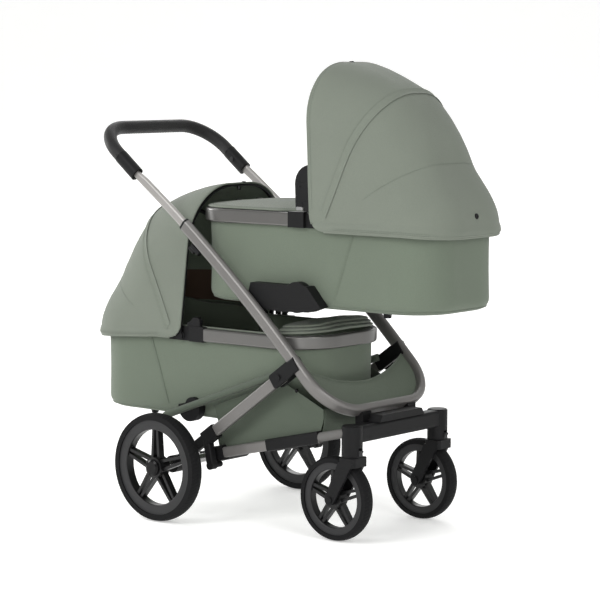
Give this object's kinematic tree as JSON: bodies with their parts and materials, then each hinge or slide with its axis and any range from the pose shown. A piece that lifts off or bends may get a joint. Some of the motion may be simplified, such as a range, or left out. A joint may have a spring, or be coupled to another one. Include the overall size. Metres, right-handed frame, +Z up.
{
  "type": "twin pram",
  "caption": "Tandem twin pram: a folding wheeled frame carrying two hooded carrycots in line, with a basket, a telescopic push handle and swivelling front wheels.",
  "frame": {"origin": "on the floor, midway between the two cots, on the middle plane", "axes": "+X forward in the direction of travel, +Y to the left, +Z up"},
  "size_m": [1.2202, 0.638, 1.2193],
  "materials": {
    "frame_metal": "satin gunmetal paint",
    "slider_metal": "satin anodised",
    "black_plastic": "fine matt grain",
    "black_gloss": "gloss",
    "grey_plastic": "satin",
    "grip_leather": "stitched leatherette",
    "tyre_rubber": "matt tread",
    "rim_grey": "satin ring and spokes",
    "hood_fabric": "woven sage twill",
    "cot_fabric": "woven sage canvas",
    "rim_trim": "dark grey satin",
    "mattress_fabric": "plain cotton cover",
    "steel": "bright zinc"
  },
  "bodies": {
    "chassis": {"main_frame": "frame_metal", "tube_collars": "black_plastic", "front_axle": "black_plastic", "axle_cover": "black_plastic", "lower_tubes": "frame_metal", "lower_tube_joints": "black_plastic", "basket_rails": "hood_fabric", "basket": "cot_fabric", "front_panel": "hood_fabric", "hinge_brackets": "black_plastic", "hinge_pins": "steel", "upper_adapters": "black_plastic", "lower_adapters": "black_plastic"},
    "handle": {"handle_tube": "slider_metal", "handle_grip": "grip_leather", "grip_ends": "black_plastic"},
    "button_left": {"height_button_left": "grey_plastic"},
    "button_right": {"height_button_right": "grey_plastic"},
    "trigger_left": {"fold_trigger_left": "black_plastic"},
    "trigger_right": {"fold_trigger_right": "black_plastic"},
    "rear_frame": {"rear_legs": "frame_metal", "rear_brackets": "black_plastic", "rear_axle": "steel"},
    "brake": {"brake_pedal": "black_plastic"},
    "rear_wheel_left": {"rear_tyre_left": "tyre_rubber", "rear_rim_left": "rim_grey", "rear_cap_left": "black_gloss"},
    "rear_wheel_right": {"rear_tyre_right": "tyre_rubber", "rear_rim_right": "rim_grey", "rear_cap_right": "black_gloss"},
    "caster_left": {"fork_left": "black_plastic", "fork_pin_left": "steel"},
    "caster_right": {"fork_right": "black_plastic", "fork_pin_right": "steel"},
    "front_wheel_left": {"front_tyre_left": "tyre_rubber", "front_rim_left": "rim_grey"},
    "front_wheel_right": {"front_tyre_right": "tyre_rubber", "front_rim_right": "rim_grey"},
    "lock_left": {"swivel_lock_left": "grey_plastic"},
    "lock_right": {"swivel_lock_right": "grey_plastic"},
    "upper_cot": {"upper_shell": "cot_fabric", "upper_rim": "rim_trim", "upper_hinge_blocks": "black_plastic", "upper_bosses": "black_plastic", "upper_apron": "hood_fabric", "upper_mattress": "mattress_fabric", "upper_canopy_rear": "hood_fabric"},
    "upper_hood_mid": {"upper_mid_bow": "grey_plastic", "upper_canopy_front": "hood_fabric"},
    "upper_hood_lead": {"upper_lead_bow": "black_plastic"},
    "lower_cot": {"lower_shell": "cot_fabric", "lower_rim": "rim_trim", "lower_hinge_blocks": "black_plastic", "lower_bosses": "black_plastic", "lower_apron": "hood_fabric", "lower_mattress": "mattress_fabric", "lower_canopy_rear": "hood_fabric"},
    "lower_hood_mid": {"lower_mid_bow": "grey_plastic", "lower_canopy_front": "hood_fabric"},
    "lower_hood_lead": {"lower_lead_bow": "black_plastic"}
  },
  "joints": [
    {"name": "handle_telescope", "type": "hinge", "parent": "chassis", "child": "handle", "pos_m": [-2.86895, 0, -2.62045], "axis": [0, 1, 0], "range_deg": [0, 2.38]},
    {"name": "height_button_left", "type": "slide", "parent": "handle", "child": "button_left", "axis": [0, 1, 0], "range_m": [0, 0.0025], "stiffness_N_per_m": 400, "springref_m": -0.002},
    {"name": "height_button_right", "type": "slide", "parent": "handle", "child": "button_right", "axis": [0, -1, 0], "range_m": [0, 0.0025], "stiffness_N_per_m": 400, "springref_m": -0.002},
    {"name": "fold_trigger_left", "type": "slide", "parent": "chassis", "child": "trigger_left", "axis": [-0.7753, 0, 0.6316], "range_m": [0, 0.01], "stiffness_N_per_m": 300, "springref_m": -0.004},
    {"name": "fold_trigger_right", "type": "slide", "parent": "chassis", "child": "trigger_right", "axis": [-0.7753, 0, 0.6316], "range_m": [0, 0.01], "stiffness_N_per_m": 300, "springref_m": -0.004},
    {"name": "rear_fold", "type": "hinge", "parent": "chassis", "child": "rear_frame", "pos_m": [0.15198, 0, 0.41201], "axis": [0, -1, 0], "range_deg": [0, 40]},
    {"name": "brake_pedal", "type": "hinge", "parent": "rear_frame", "child": "brake", "pos_m": [-0.22, 0, 0.145], "axis": [0, -1, 0], "range_deg": [0, 18]},
    {"name": "rear_wheel_spin_left", "type": "hinge", "parent": "rear_frame", "child": "rear_wheel_left", "pos_m": [-0.22, 0.292, 0.145], "axis": [0, 1, 0], "continuous": true},
    {"name": "rear_wheel_spin_right", "type": "hinge", "parent": "rear_frame", "child": "rear_wheel_right", "pos_m": [-0.22, -0.292, 0.145], "axis": [0, 1, 0], "continuous": true},
    {"name": "caster_swivel_left", "type": "hinge", "parent": "chassis", "child": "caster_left", "pos_m": [0.3535, 0.182, 0.26], "axis": [0, 0, 1], "continuous": true},
    {"name": "front_wheel_spin_left", "type": "hinge", "parent": "caster_left", "child": "front_wheel_left", "pos_m": [0.3025, 0.182, 0.109], "axis": [0, 1, 0], "continuous": true},
    {"name": "swivel_lock_left", "type": "slide", "parent": "chassis", "child": "lock_left", "axis": [0, 0, 1], "range_m": [0, 0.006]},
    {"name": "caster_swivel_right", "type": "hinge", "parent": "chassis", "child": "caster_right", "pos_m": [0.3535, -0.182, 0.26], "axis": [0, 0, 1], "continuous": true},
    {"name": "front_wheel_spin_right", "type": "hinge", "parent": "caster_right", "child": "front_wheel_right", "pos_m": [0.3025, -0.182, 0.109], "axis": [0, 1, 0], "continuous": true},
    {"name": "swivel_lock_right", "type": "slide", "parent": "chassis", "child": "lock_right", "axis": [0, 0, 1], "range_m": [0, 0.006]},
    {"name": "upper_cot_lift", "type": "slide", "parent": "chassis", "child": "upper_cot", "axis": [0, 0, 1], "range_m": [0, 0.012]},
    {"name": "lower_cot_lift", "type": "slide", "parent": "chassis", "child": "lower_cot", "axis": [0, 0, 1], "range_m": [0, 0.03]},
    {"name": "upper_hood_mid", "type": "hinge", "parent": "upper_cot", "child": "upper_hood_mid", "pos_m": [0.235, 0, 0.808], "axis": [0, 1, 0], "range_deg": [0, 24], "deforming": ["upper_canopy_rear"]},
    {"name": "upper_hood_lead", "type": "hinge", "parent": "upper_hood_mid", "child": "upper_hood_lead", "pos_m": [0.235, 0, 0.808], "axis": [0, 1, 0], "range_deg": [0, 23], "deforming": ["upper_canopy_front"]},
    {"name": "lower_hood_mid", "type": "hinge", "parent": "lower_cot", "child": "lower_hood_mid", "pos_m": [-0.235, 0, 0.486], "axis": [0, -1, 0], "range_deg": [0, 24], "deforming": ["lower_canopy_rear"]},
    {"name": "lower_hood_lead", "type": "hinge", "parent": "lower_hood_mid", "child": "lower_hood_lead", "pos_m": [-0.235, 0, 0.486], "axis": [0, -1, 0], "range_deg": [0, 28], "deforming": ["lower_canopy_front"]}
  ],
  "couplings": [
    {"joint": "upper_hood_lead", "follows": "upper_hood_mid", "ratio": 0.95833},
    {"joint": "lower_hood_lead", "follows": "lower_hood_mid", "ratio": 1.1667}
  ]
}
